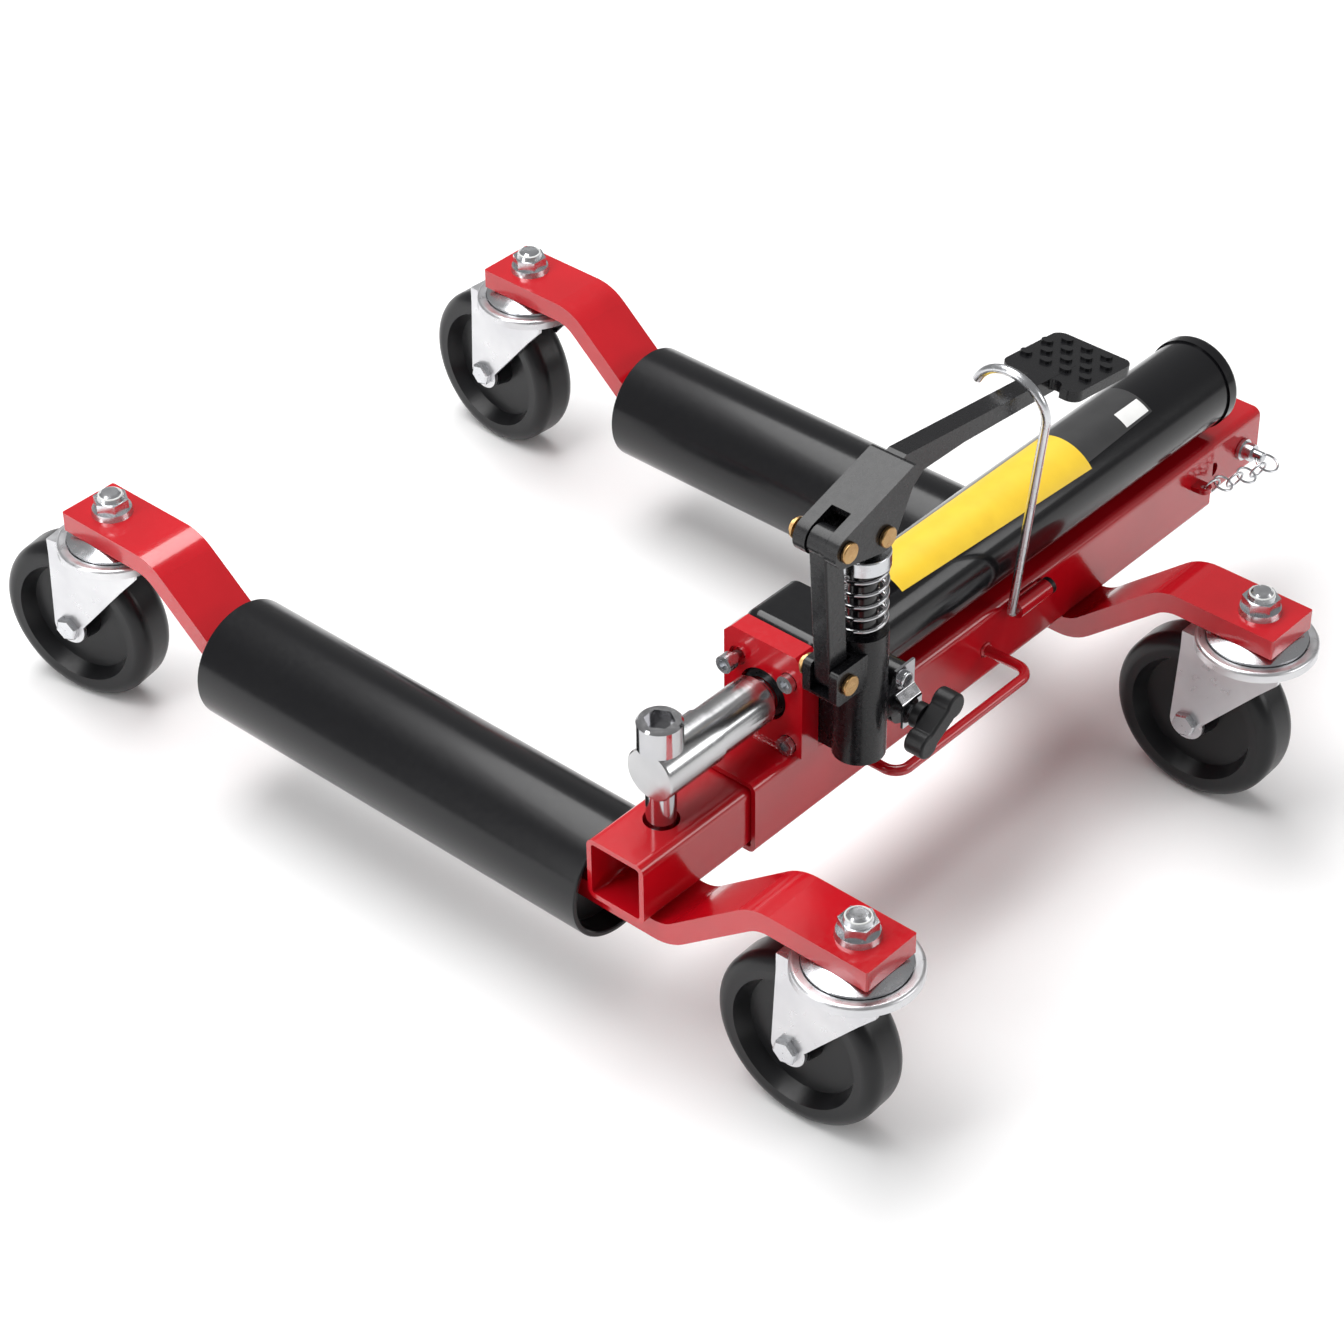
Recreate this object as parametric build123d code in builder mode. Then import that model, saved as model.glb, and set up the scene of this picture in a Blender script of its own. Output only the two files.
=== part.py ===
"""Hydraulic wheel dolly.

Two cranked cross bars on swivel casters carry loose rollers. The front bar is welded under a
sliding square tube, and a foot-pumped ram pulls it towards the rear bar, so that the rollers
close under a tyre and lift it. X runs along the square tubes, Y along the rollers and Z up.
"""

import os
from math import asin, atan2, cos, degrees, hypot, radians, sin, tan

from build123d import *

# ---- Casters ----
wheel_radius = 50.8
wheel_width = 28.0
wheel_shoulder = 8.0
wheel_rim = 12.8
wheel_recess_depth = 9.0
wheel_hub_radius = 11.0
caster_trail = 28.0
caster_height = 118.65
trail_angles = {
    "front_left": 100.9,
    "front_right": 91.5,
    "rear_left": 86.6,
    "rear_right": 91.1,
}
kingpin_radius = 6.0
nut_flange_radius = 11.9
nut_across_flats = 18.0
race_radius = 27.5
race_height = 5.2
ball_radius = 2.0
ball_circle_radius = 20.0
ball_count = 16
fork_disc_radius = 33.5
fork_disc_thickness = 2.6
fork_rim_width = 5.5
fork_rim_height = 5.8
fork_front = 26.0
fork_back = 36.0
race_gap = 0.3
fork_leg_thickness = 2.4
fork_wheel_gap = 1.3
fork_end_radius = 10.5
axle_radius = 4.5
axle_head_radius = 6.4
axle_head_height = 2.4

# ---- Cross bars ----
bar_width = 38.0
bar_thickness = 12.0
bar_half_length = 289.0
kingpin_y = 268.0
bar_spacing = 339.0
bar_bend_y = 219.0
bar_landing = 5.0
bar_bend_radius = 26.0

# ---- Square tubes ----
beam_y = -134.0
beam_z = 104.0
inner_size = 38.0
inner_wall = 3.0
inner_corner = 5.0
inner_start = -26.0
inner_end = 511.0
outer_wall = 3.0
outer_corner = 5.0
tube_clearance = 0.5
outer_start = 55.0
outer_end = 459.0

# ---- Rollers ----
roller_radius = 35.0
roller_wall = 3.0
roller_length = 280.0
roller_side_gap = 2.0
bush_length = 10.0
bush_inset = 14.0
running_clearance = 0.05

# ---- Ram ----
ram_rise = 29.5
plate_x = 87.0
plate_thickness = 13.0
plate_width = 52.0
plate_rise = 33.0
plate_bore_radius = 15.0
plate_screw_y = 34.0
plate_screw_z = 40.0
plate_screw_drop = 4.0
plate_screw_radius = 3.0
plate_screw_head_radius = 5.0
plate_screw_head = 6.0
plate_screw_length = 22.0
screw_proud = 3.5
screw_loose = 7.5
head_length = 37.0
head_rise = 34.0
barrel_radius = 26.5
barrel_wall = 3.5
barrel_end = 462.0
cap_radius = 27.6
cap_length = 9.0
rod_radius = 10.0
rod_eye_radius = 15.0
rod_eye_start = 0.5
rod_eye_end = 41.5
sleeve_radius = 14.0
sleeve_end = 81.0
thread_radius = 11.0
gland_radius = 14.2
piston_length = 24.0
rod_stroke = 130.0

# ---- Coupling bolt ----
bolt_x = 9.0
bolt_radius = 8.0
bolt_head_radius = 12.0
bolt_head_height = 16.5
bolt_hex = 14.0
bolt_tip = 55.0
bolt_nut_flats = 24.0
bolt_nut_height = 13.0
tube_hole_radius = 9.6

# ---- Pump ----
pump_x = 109.5
pump_y = -179.0
pump_radius = 14.0
pump_bottom = 130.0
pump_top = 208.0
plunger_radius = 8.0
plunger_bottom = 178.0
cup_radius = 14.0
cup_bottom = 247.6
cup_top = 256.0
tongue_width = 10.6
tongue_length = 14.0
spring_wire = 1.15
spring_radius = 12.2
spring_turns = 5
lug_front = 77.0
lug_width = 22.0
lug_bottom = 181.0
lug_top = 201.0
slot_width = 12.0
link_thickness = 10.6
link_width = 14.0
link_top_radius = 8.0
fulcrum = (86.0, 191.0)
lever_pivot = (80.0, 276.0)
plunger_pin_z = 269.3
pin_radius = 4.0
pin_head_radius = 5.6
pin_head_height = 2.2
pin_tail = 6.5
open_pivot_clearance = 1.0

# ---- Pedal lever ----
cheek_width = 27.0
lobe_radius = 9.0
elbow = (134.0, 300.5)
roof_thickness = 7.0
arm_width = 11.0
arm_drop_angle = 7.0
arm_height_root = 13.0
arm_height_tip = 8.0
pad_x = 272.5
pad_top = 283.4
pad_length = 51.0
pad_width = 48.0
pad_thickness = 6.0
pad_corner = 6.0
stud_length = 5.0
stud_width = 6.4
stud_height = 1.6
stud_pitch_x = 9.1
stud_pitch_y = 6.2
stud_start = (-8.3, 20.0)
stud_columns = ((0, 1), (-1, 3), (-1, 4), (0, 4), (1, 2))

# ---- Release valve ----
valve_x = 131.0
valve_z = 150.0
valve_boss_front = -190.0
valve_boss_back = -168.0
valve_spindle_radius = 4.0
knob_y = -210.0
knob_half_span = 12.5
knob_lobe_radius = 7.0
knob_angle = 32.0
knob_thickness = 12.0
retainer_screw_x = 129.0
retainer_screw_z = 170.0

# ---- Guard rail, pedal hook and safety pin ----
rail_radius = 3.0
rail_start = 132.0
rail_end = 246.0
rail_reach = -187.5
rail_z = 103.0
rail_bend = 9.0
hook_radius = 2.5
hook_tube_radius = 5.0
hook_tube_start = 265.0
hook_tube_end = 292.0
hook_tube_z = 121.0
hook_top = (229.0, 297.0)
hook_bend = 21.0
pin_x = 494.0
spare_hole_x = 465.0
lock_pin_radius = 4.0
lock_hole_radius = 4.6
lock_pin_head = 5.2
lock_pin_neck = 3.2
split_ring_radius = 6.5
ring_radius = 5.6
ring_wire = 0.7
ring_count = 5
chain_sag = 1.0

# ---- Worked out from the values above ----
bar_top = caster_height + bar_thickness
stud_top = bar_top + 13.5
ball_z = caster_height - race_height - 1.1
fork_plate_top = ball_z - ball_radius - race_gap
fork_low = fork_plate_top - fork_disc_thickness
fork_top = fork_low + fork_rim_height
bar_top_centre = caster_height + bar_thickness / 2
outer_size = inner_size + 2 * (outer_wall + tube_clearance)
inner_top = beam_z + inner_size / 2
inner_bottom = beam_z - inner_size / 2
outer_top = beam_z + outer_size / 2
outer_bottom = beam_z - outer_size / 2
inner_side = beam_y - inner_size / 2
outer_side = beam_y - outer_size / 2
bar_low_y = bar_landing - outer_side
front_axis_z = inner_bottom - bar_thickness / 2
rear_axis_z = outer_bottom - bar_thickness / 2
roller_bore = roller_radius - roller_wall
wheel_recess_radius = wheel_radius - wheel_rim
plate_back = plate_x + plate_thickness
ram_z = outer_top + ram_rise
plate_top = ram_z + plate_rise
head_top = ram_z + head_rise
head_end = plate_back + head_length
plunger_pin = (pump_x, plunger_pin_z)
casters = {
    "front_left": (0.0, kingpin_y),
    "front_right": (0.0, -kingpin_y),
    "rear_left": (bar_spacing, kingpin_y),
    "rear_right": (bar_spacing, -kingpin_y),
}
pieces = {}


def crank_points(low_z):
    """Centre line of a cross bar, down from the casters to its low middle."""
    left = [(bar_half_length, bar_top_centre), (bar_bend_y, bar_top_centre), (bar_low_y, low_z)]
    return left + [(-y, z) for y, z in reversed(left)]


def cross_bar(x, low_z):
    """Flat bar, cranked at both ends and drilled for its two kingpins."""
    with BuildPart() as bar:
        with BuildSketch(Plane.YZ.offset(x)):
            with BuildLine():
                FilletPolyline(*crank_points(low_z), radius=bar_bend_radius)
            trace(line_width=bar_thickness)
        extrude(amount=bar_width / 2, both=True)
        with Locations(Plane.XY.offset(bar_top)):
            with Locations((x, kingpin_y), (x, -kingpin_y)):
                Hole(kingpin_radius + 0.1, depth=bar_thickness + 1)
        end_edges = bar.edges().filter_by(Axis.Z).group_by(Axis.Y)
        chamfer(end_edges[0] + end_edges[-1], 0.8)
    return bar


def roller(x, axis_z, end_y):
    """Plain steel tube that turns on two bushes."""
    with BuildPart() as tube:
        with BuildSketch(Plane.XZ.offset(-end_y)):
            with Locations((x, axis_z)):
                Circle(roller_radius)
                Circle(roller_bore, mode=Mode.SUBTRACT)
        extrude(amount=-roller_length)
        chamfer(tube.edges().filter_by(GeomType.CIRCLE), 0.6)
    return tube


def roller_bushes(x, axis_z, end_y):
    """Two plastic bushes, pressed over the flat bar inside a roller."""
    with BuildPart() as bushes:
        for start in (end_y + bush_inset, end_y + roller_length - bush_inset - 2 * bush_length):
            with BuildSketch(Plane.XZ.offset(-start)):
                with Locations((x, axis_z)):
                    Circle(roller_bore - running_clearance)
                    Rectangle(bar_width + 0.1, bar_thickness + 0.1, mode=Mode.SUBTRACT)
            extrude(amount=-bush_length)
    return bushes


def kingpins(names):
    """Threaded studs with a domed end, riveted under the bar ends."""
    with BuildPart() as studs:
        for name in names:
            x, y = casters[name]
            with BuildSketch(Plane.XY.offset(fork_low - 2.4)):
                with Locations((x, y)):
                    Circle(9.0)
            extrude(amount=2.0)
            with BuildSketch(Plane.XY.offset(fork_low - 0.4)):
                with Locations((x, y)):
                    Circle(kingpin_radius)
            extrude(amount=stud_top - fork_low + 0.4)
        rims = studs.faces().group_by(Axis.Z)[-1].edges()
        chamfer(rims, 1.2)
    return studs


def kingpin_nuts(names):
    """Flanged hexagon nuts with a plastic locking collar."""
    with BuildPart() as nuts:
        for name in names:
            x, y = casters[name]
            with BuildSketch(Plane.XY.offset(bar_top)):
                with Locations((x, y)):
                    Circle(nut_flange_radius)
            extrude(amount=3.4, taper=12)
            with BuildSketch(Plane.XY.offset(bar_top)):
                with Locations((x, y)):
                    RegularPolygon(nut_across_flats / 2, 6, major_radius=False)
            extrude(amount=9.4)
            with BuildSketch(Plane.XY.offset(bar_top + 9.4)):
                with Locations((x, y)):
                    Circle(8.0)
            extrude(amount=2.4, taper=20)
            with BuildSketch(Plane.XY.offset(bar_top)):
                with Locations((x, y)):
                    Circle(kingpin_radius)
            extrude(amount=stud_top - bar_top, mode=Mode.SUBTRACT)
    return nuts


def top_races(names):
    """Domed upper race under each bar end."""
    with BuildPart() as races:
        for name in names:
            x, y = casters[name]
            with BuildSketch(Plane.XZ.offset(-y)):
                with BuildLine():
                    Polyline(
                        (x + kingpin_radius, caster_height),
                        (x + race_radius - 9, caster_height),
                        (x + race_radius, caster_height - race_height + 1.6),
                        (x + race_radius, caster_height - race_height),
                        (x + ball_circle_radius + 2.4, caster_height - race_height),
                        (x + ball_circle_radius + 2.2, ball_z + ball_radius),
                        (x + ball_circle_radius - 2.2, ball_z + ball_radius),
                        (x + kingpin_radius, caster_height - 3.2),
                        close=True,
                    )
                make_face()
            revolve(axis=Axis((x, y, 0), (0, 0, 1)))
    return races


def race_balls(names):
    """Ring of swivel balls between each upper race and its fork."""
    with BuildPart() as balls:
        for name in names:
            x, y = casters[name]
            with Locations(Plane((x, y, ball_z))):
                with PolarLocations(ball_circle_radius, ball_count):
                    Sphere(ball_radius)
    return balls


def trail_plane(name):
    """Plane at the kingpin with its X along the trail and its Y along the axle."""
    x, y = casters[name]
    angle = radians(trail_angles[name])
    return Plane(origin=(x, y, 0), x_dir=(cos(angle), sin(angle), 0), z_dir=(0, 0, 1))


def side_plane(name, across):
    """Upright plane along the trail, at a distance along the axle."""
    base = trail_plane(name)
    origin = base.from_local_coords(Vector(0, across, 0))
    return Plane(origin=origin, x_dir=base.x_dir, z_dir=-base.y_dir)


def fork(name):
    """Pressed fork: a rolled disc on top and two legs that taper to the axle."""
    leg_outer = wheel_width / 2 + fork_wheel_gap + fork_leg_thickness
    with BuildPart() as yoke:
        for across in (-leg_outer, leg_outer - fork_leg_thickness):
            with BuildSketch(side_plane(name, across + fork_leg_thickness)):
                with BuildLine():
                    Polyline(
                        (-fork_front, fork_plate_top),
                        (-fork_front + 1, fork_low - 5),
                        (-fork_front + 12, fork_low - 17),
                        (caster_trail - fork_end_radius, wheel_radius + 3),
                        (caster_trail + fork_end_radius, wheel_radius),
                        (fork_back, fork_low - 8),
                        (fork_back, fork_plate_top),
                        close=True,
                    )
                make_face()
                with Locations((caster_trail, wheel_radius)):
                    Circle(fork_end_radius)
                    Circle(axle_radius, mode=Mode.SUBTRACT)
            extrude(amount=fork_leg_thickness)
        with BuildSketch(trail_plane(name).offset(fork_low)):
            with Locations(((fork_back - 4) / 2, 0)):
                Rectangle(fork_back + 4, 2 * leg_outer)
            Circle(fork_disc_radius - 1)
            Circle(kingpin_radius + running_clearance, mode=Mode.SUBTRACT)
        extrude(amount=fork_disc_thickness)
        with BuildSketch(trail_plane(name).offset(fork_low)):
            Circle(fork_disc_radius)
            Circle(fork_disc_radius - fork_rim_width, mode=Mode.SUBTRACT)
        extrude(amount=fork_top - fork_low)
        rims = yoke.edges().filter_by(GeomType.CIRCLE).group_by(Axis.Z)[-1]
        fillet(rims.sort_by(SortBy.RADIUS)[-1], 2.0)
    return yoke


def caster_wheel(name):
    """Solid wheel with rounded shoulders and a dished face on both sides."""
    base = trail_plane(name)
    centre = base.from_local_coords(Vector(caster_trail, 0, wheel_radius))
    face = Plane(origin=centre, x_dir=base.y_dir, z_dir=base.x_dir)
    half = wheel_width / 2
    web = half - wheel_recess_depth
    with BuildPart() as wheel:
        with BuildSketch(face):
            with BuildLine():
                Polyline(
                    (-half, axle_radius + running_clearance),
                    (half, axle_radius + running_clearance),
                    (half, wheel_hub_radius),
                    (web, wheel_hub_radius + 1.5),
                    (web, wheel_recess_radius - 4),
                    (half, wheel_recess_radius),
                    (half, wheel_radius),
                    (-half, wheel_radius),
                    (-half, wheel_recess_radius),
                    (-web, wheel_recess_radius - 4),
                    (-web, wheel_hub_radius + 1.5),
                    (-half, wheel_hub_radius),
                    close=True,
                )
            make_face()
        revolve(axis=Axis(centre, base.y_dir))
        outer = wheel.edges().filter_by(GeomType.CIRCLE).sort_by(SortBy.RADIUS)[-2:]
        fillet(outer, wheel_shoulder)
    return wheel


def wheel_axle(name):
    """Axle rivet with a domed head on each side of the fork."""
    leg_outer = wheel_width / 2 + fork_wheel_gap + fork_leg_thickness
    with BuildPart() as axle:
        with BuildSketch(side_plane(name, leg_outer)):
            with Locations((caster_trail, wheel_radius)):
                Circle(axle_radius)
        extrude(amount=2 * leg_outer)
        for across in (leg_outer + axle_head_height, -leg_outer):
            with BuildSketch(side_plane(name, across)):
                with Locations((caster_trail, wheel_radius)):
                    Circle(axle_head_radius)
            extrude(amount=axle_head_height)
        rims = axle.edges().filter_by(GeomType.CIRCLE)
        rims = [rim for rim in rims if abs(side_distance(name, rim.center())) > leg_outer + 1]
        fillet(rims, 1.4)
    return axle


def side_distance(name, point):
    """Distance of a point from a caster's middle plane, along its axle."""
    return trail_plane(name).to_local_coords(Vector(point)).Y


def square_tube(start, end, size, wall, corner):
    """Square tube along X, about the beam axis."""
    with BuildPart() as tube:
        with BuildSketch(Plane.YZ.offset(start)):
            with Locations((beam_y, beam_z)):
                RectangleRounded(size, size, corner)
                RectangleRounded(size - 2 * wall, size - 2 * wall, corner - wall, mode=Mode.SUBTRACT)
        extrude(amount=end - start)
    return tube


def pin_with_clip(x, z, width):
    """Headed pin along Y through a joint of this width, held by a clip at its far end."""
    head_y = pump_y - width / 2 - 0.3
    far_y = pump_y + width / 2 + pin_tail
    with BuildPart() as pin:
        with BuildSketch(Plane.XZ.offset(-head_y + pin_head_height)):
            with Locations((x, z)):
                Circle(pin_head_radius)
        extrude(amount=-pin_head_height)
        fillet(pin.edges().filter_by(GeomType.CIRCLE).group_by(Axis.Y)[0], 0.8)
        with BuildSketch(Plane.XZ.offset(-head_y)):
            with Locations((x, z)):
                Circle(pin_radius)
        extrude(amount=head_y - far_y)
        with BuildSketch(Plane.XZ.offset(-far_y + 3)):
            with Locations((x, z)):
                Circle(pin_radius + 1.8)
                Circle(pin_radius, mode=Mode.SUBTRACT)
        extrude(amount=-1.2)
    return pin


# ---- Cross bars, rollers and casters ----
front_names = ["front_left", "front_right"]
rear_names = ["rear_left", "rear_right"]
pieces["front_bar"] = cross_bar(0, front_axis_z)
pieces["rear_bar"] = cross_bar(bar_spacing, rear_axis_z)
front_roller_y = beam_y + inner_size / 2 + roller_side_gap
rear_roller_y = beam_y + outer_size / 2 + roller_side_gap
pieces["front_roller"] = roller(0, front_axis_z, front_roller_y)
pieces["rear_roller"] = roller(bar_spacing, rear_axis_z, rear_roller_y)
pieces["front_roller_bushes"] = roller_bushes(0, front_axis_z, front_roller_y)
pieces["rear_roller_bushes"] = roller_bushes(bar_spacing, rear_axis_z, rear_roller_y)
for end, names in (("front", front_names), ("rear", rear_names)):
    pieces[end + "_kingpins"] = kingpins(names)
    pieces[end + "_kingpin_nuts"] = kingpin_nuts(names)
    pieces[end + "_top_races"] = top_races(names)
    pieces[end + "_race_balls"] = race_balls(names)
for name in casters:
    pieces["fork_" + name] = fork(name)
    pieces["wheel_" + name] = caster_wheel(name)
    pieces["axle_" + name] = wheel_axle(name)

# The coupling bolt passes through the front bar, so the bar is drilled for it.
with BuildPart() as front_bar:
    add(pieces["front_bar"].part)
    with BuildSketch(Plane.XY.offset(front_axis_z)):
        with Locations((bolt_x, beam_y)):
            Circle(bolt_radius + 0.2)
    extrude(amount=bar_thickness, both=True, mode=Mode.SUBTRACT)
pieces["front_bar"] = front_bar

# ---- Square tubes ----
with BuildPart() as inner_tube:
    add(square_tube(inner_start, inner_end, inner_size, inner_wall, inner_corner).part)
    with BuildSketch(Plane.XY.offset(beam_z)):
        with Locations((bolt_x, beam_y)):
            Circle(tube_hole_radius)
    extrude(amount=inner_size, mode=Mode.SUBTRACT)
    with BuildSketch(Plane.XY.offset(beam_z)):
        with Locations((bolt_x, beam_y)):
            Circle(bolt_radius + 0.2)
    extrude(amount=-inner_size, mode=Mode.SUBTRACT)
    with BuildSketch(Plane.XZ.offset(-beam_y)):
        with Locations((pin_x, beam_z), (spare_hole_x, beam_z)):
            Circle(lock_hole_radius)
    extrude(amount=inner_size, both=True, mode=Mode.SUBTRACT)
pieces["inner_tube"] = inner_tube

# The outer tube carries a welded half-round lug for the pin's chain.
lug_x = outer_end - 16.6
lug_y = outer_side - 5.5
lug_z = beam_z + 3.0
with BuildPart() as outer_tube:
    add(square_tube(outer_start, outer_end, outer_size, outer_wall, outer_corner).part)
    with BuildSketch(Plane.XY.offset(lug_z)):
        with Locations((lug_x, lug_y)):
            Circle(4.6)
        with Locations((lug_x, (lug_y + outer_side) / 2)):
            Rectangle(9.2, outer_side - lug_y)
        with Locations((lug_x, lug_y - 0.6)):
            Circle(2.2, mode=Mode.SUBTRACT)
    extrude(amount=1.5, both=True)
pieces["outer_tube"] = outer_tube

# ---- Ram ----
screw_places = [
    (beam_y + side * plate_screw_y / 2, ram_z - plate_screw_drop + rise * plate_screw_z / 2)
    for side in (-1, 1)
    for rise in (-1, 1)
]
with BuildPart() as ram_mount_plate:
    with BuildSketch(Plane.YZ.offset(plate_x)):
        with Locations((beam_y, (outer_top + plate_top) / 2)):
            Rectangle(plate_width, plate_top - outer_top)
    extrude(amount=plate_thickness)
    top_corners = ram_mount_plate.edges().filter_by(Axis.X).group_by(Axis.Z)[-1]
    chamfer(top_corners, 5)
    with BuildSketch(Plane.YZ.offset(plate_x)):
        with Locations((beam_y, ram_z)):
            Circle(plate_bore_radius)
        with Locations(*screw_places):
            Circle(plate_screw_radius + 0.3)
    extrude(amount=plate_thickness, mode=Mode.SUBTRACT)
    with BuildSketch(Plane.YZ.offset(plate_x)):
        with Locations(*screw_places):
            Circle(plate_screw_head_radius + 0.4)
    extrude(amount=plate_screw_head - screw_proud, mode=Mode.SUBTRACT)
pieces["ram_mount_plate"] = ram_mount_plate

# Three screws are driven home and the one nearest the top inside corner stands proud.
with BuildPart() as plate_screws:
    for place in screw_places:
        loose = screw_loose if place == screw_places[-1] else 0
        face_x = plate_x - screw_proud - loose
        with BuildSketch(Plane.YZ.offset(face_x)):
            with Locations(place):
                Circle(plate_screw_head_radius)
        extrude(amount=plate_screw_head)
        with BuildSketch(Plane.YZ.offset(face_x)):
            with Locations(place):
                Circle(plate_screw_radius)
        extrude(amount=plate_screw_head + plate_screw_length)
        with BuildSketch(Plane.YZ.offset(face_x)):
            with Locations(place):
                RegularPolygon(2.6, 6, major_radius=False)
        extrude(amount=3.2, mode=Mode.SUBTRACT)
pieces["plate_screws"] = plate_screws

barrel_seat = 8.0
head_bottom = outer_top + 2.0
with BuildPart() as cylinder_head:
    with BuildSketch(Plane.YZ.offset(plate_back)):
        with Locations((beam_y, (head_bottom + head_top) / 2)):
            Rectangle(plate_width, head_top - head_bottom)
    extrude(amount=head_length)
    fillet(cylinder_head.edges().filter_by(Axis.X).group_by(Axis.Z)[-1], 9)
    fillet(cylinder_head.edges().filter_by(Axis.Y).group_by(Axis.Z)[-1].group_by(Axis.X)[0], 6)
    with BuildSketch(Plane.YZ.offset(plate_back)):
        with Locations((beam_y, ram_z)):
            Circle(rod_radius + 1.0)
    extrude(amount=head_length, mode=Mode.SUBTRACT)
    with BuildSketch(Plane.YZ.offset(plate_back)):
        with Locations((beam_y, ram_z)):
            Circle(gland_radius)
    extrude(amount=12, mode=Mode.SUBTRACT)
    with BuildSketch(Plane.YZ.offset(head_end - barrel_seat)):
        with Locations((beam_y, ram_z)):
            Circle(barrel_radius - barrel_wall + 1.8)
    extrude(amount=barrel_seat, mode=Mode.SUBTRACT)
    with BuildSketch(Plane.YZ.offset(plate_back)):
        with Locations(*screw_places):
            Circle(plate_screw_radius)
    extrude(amount=16, mode=Mode.SUBTRACT)
    with BuildSketch(Plane.XZ.offset(-(beam_y + plate_width / 2))):
        with Locations((plate_back + head_length / 2, ram_z + 14)):
            Circle(3.5)
    extrude(amount=6, mode=Mode.SUBTRACT)
pieces["cylinder_head"] = cylinder_head

with BuildPart() as oil_filler_plug:
    with BuildSketch(Plane.XZ.offset(-(beam_y + plate_width / 2))):
        with Locations((plate_back + head_length / 2, ram_z + 14)):
            Circle(3.5)
    extrude(amount=5.5)
    with BuildSketch(Plane.XZ.offset(-(beam_y + plate_width / 2))):
        with Locations((plate_back + head_length / 2, ram_z + 14)):
            RegularPolygon(5.5, 6, major_radius=False)
    extrude(amount=-4)
pieces["oil_filler_plug"] = oil_filler_plug

with BuildPart() as gland_nut:
    with BuildSketch(Plane.YZ.offset(plate_x + 1.5)):
        with Locations((beam_y, ram_z)):
            Circle(gland_radius)
            Circle(rod_radius + running_clearance, mode=Mode.SUBTRACT)
    extrude(amount=plate_thickness + 9)
    chamfer(gland_nut.edges().filter_by(GeomType.CIRCLE).group_by(Axis.X)[0].sort_by(SortBy.RADIUS)[-1], 1.0)
pieces["gland_nut"] = gland_nut

with BuildPart() as cylinder_barrel:
    with BuildSketch(Plane.YZ.offset(head_end)):
        with Locations((beam_y, ram_z)):
            Circle(barrel_radius)
            Circle(barrel_radius - barrel_wall, mode=Mode.SUBTRACT)
    extrude(amount=barrel_end - head_end)
    with BuildSketch(Plane.YZ.offset(head_end - barrel_seat)):
        with Locations((beam_y, ram_z)):
            Circle(barrel_radius - barrel_wall + 1.8)
            Circle(barrel_radius - barrel_wall, mode=Mode.SUBTRACT)
    extrude(amount=barrel_seat)
pieces["cylinder_barrel"] = cylinder_barrel

with BuildPart() as cylinder_end_cap:
    with BuildSketch(Plane.YZ.offset(barrel_end)):
        with Locations((beam_y, ram_z)):
            Circle(cap_radius)
    extrude(amount=cap_length)
    with BuildSketch(Plane.YZ.offset(barrel_end)):
        with Locations((beam_y, ram_z)):
            Circle(barrel_radius - barrel_wall)
    extrude(amount=-6)
    fillet(cylinder_end_cap.edges().filter_by(GeomType.CIRCLE).group_by(Axis.X)[-1], 3.5)
    with BuildSketch(Plane.YZ.offset(barrel_end + cap_length)):
        with Locations((beam_y, ram_z)):
            Circle(cap_radius - 6.5)
    extrude(amount=-2.2, mode=Mode.SUBTRACT)
pieces["cylinder_end_cap"] = cylinder_end_cap

rod_seat = rod_eye_end + 6.0
piston_end = barrel_end - 8.0
piston_start = piston_end - piston_length
with BuildPart() as rod_end:
    with BuildSketch(Plane.YZ.offset(rod_eye_start)):
        with Locations((beam_y, ram_z)):
            Circle(rod_eye_radius)
    extrude(amount=rod_eye_end - rod_eye_start)
    with BuildSketch(Plane.YZ.offset(rod_eye_end)):
        with Locations((beam_y, ram_z)):
            Circle(sleeve_radius)
    extrude(amount=sleeve_end - rod_eye_end)
    chamfer(rod_end.edges().filter_by(GeomType.CIRCLE).group_by(Axis.X)[0], 0.8)
    chamfer(rod_end.edges().filter_by(GeomType.CIRCLE).group_by(Axis.X)[-1], 0.8)
    with BuildSketch(Plane.YZ.offset(rod_seat)):
        with Locations((beam_y, ram_z)):
            Circle(rod_radius)
    extrude(amount=sleeve_end - rod_seat, mode=Mode.SUBTRACT)
    with BuildSketch(Plane.XY.offset(ram_z)):
        with Locations((bolt_x, beam_y)):
            Circle(bolt_radius + 0.15)
    extrude(amount=rod_eye_radius, both=True, mode=Mode.SUBTRACT)
    with BuildSketch(Plane.XY.offset(ram_z + rod_eye_radius - 1.0)):
        with Locations((bolt_x, beam_y)):
            Circle(bolt_head_radius + 0.3)
    extrude(amount=3, mode=Mode.SUBTRACT)
pieces["rod_end"] = rod_end

with BuildPart() as ram_rod:
    with BuildSketch(Plane.YZ.offset(rod_seat)):
        with Locations((beam_y, ram_z)):
            Circle(rod_radius)
    extrude(amount=piston_end - rod_seat)
    for step in range(3):
        with BuildSketch(Plane.YZ.offset(sleeve_end + 0.4 + 1.6 * step)):
            with Locations((beam_y, ram_z)):
                Circle(thread_radius)
                Circle(rod_radius - 0.5, mode=Mode.SUBTRACT)
        extrude(amount=1.0)
pieces["ram_rod"] = ram_rod

with BuildPart() as ram_piston:
    with BuildSketch(Plane.YZ.offset(piston_start)):
        with Locations((beam_y, ram_z)):
            Circle(barrel_radius - barrel_wall - running_clearance)
            Circle(rod_radius, mode=Mode.SUBTRACT)
    extrude(amount=piston_length)
    for groove_x in (piston_start + 6, piston_start + 15):
        with BuildSketch(Plane.YZ.offset(groove_x)):
            with Locations((beam_y, ram_z)):
                Circle(barrel_radius)
                Circle(barrel_radius - barrel_wall - 2.5, mode=Mode.SUBTRACT)
        extrude(amount=3.0, mode=Mode.SUBTRACT)
pieces["ram_piston"] = ram_piston

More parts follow.
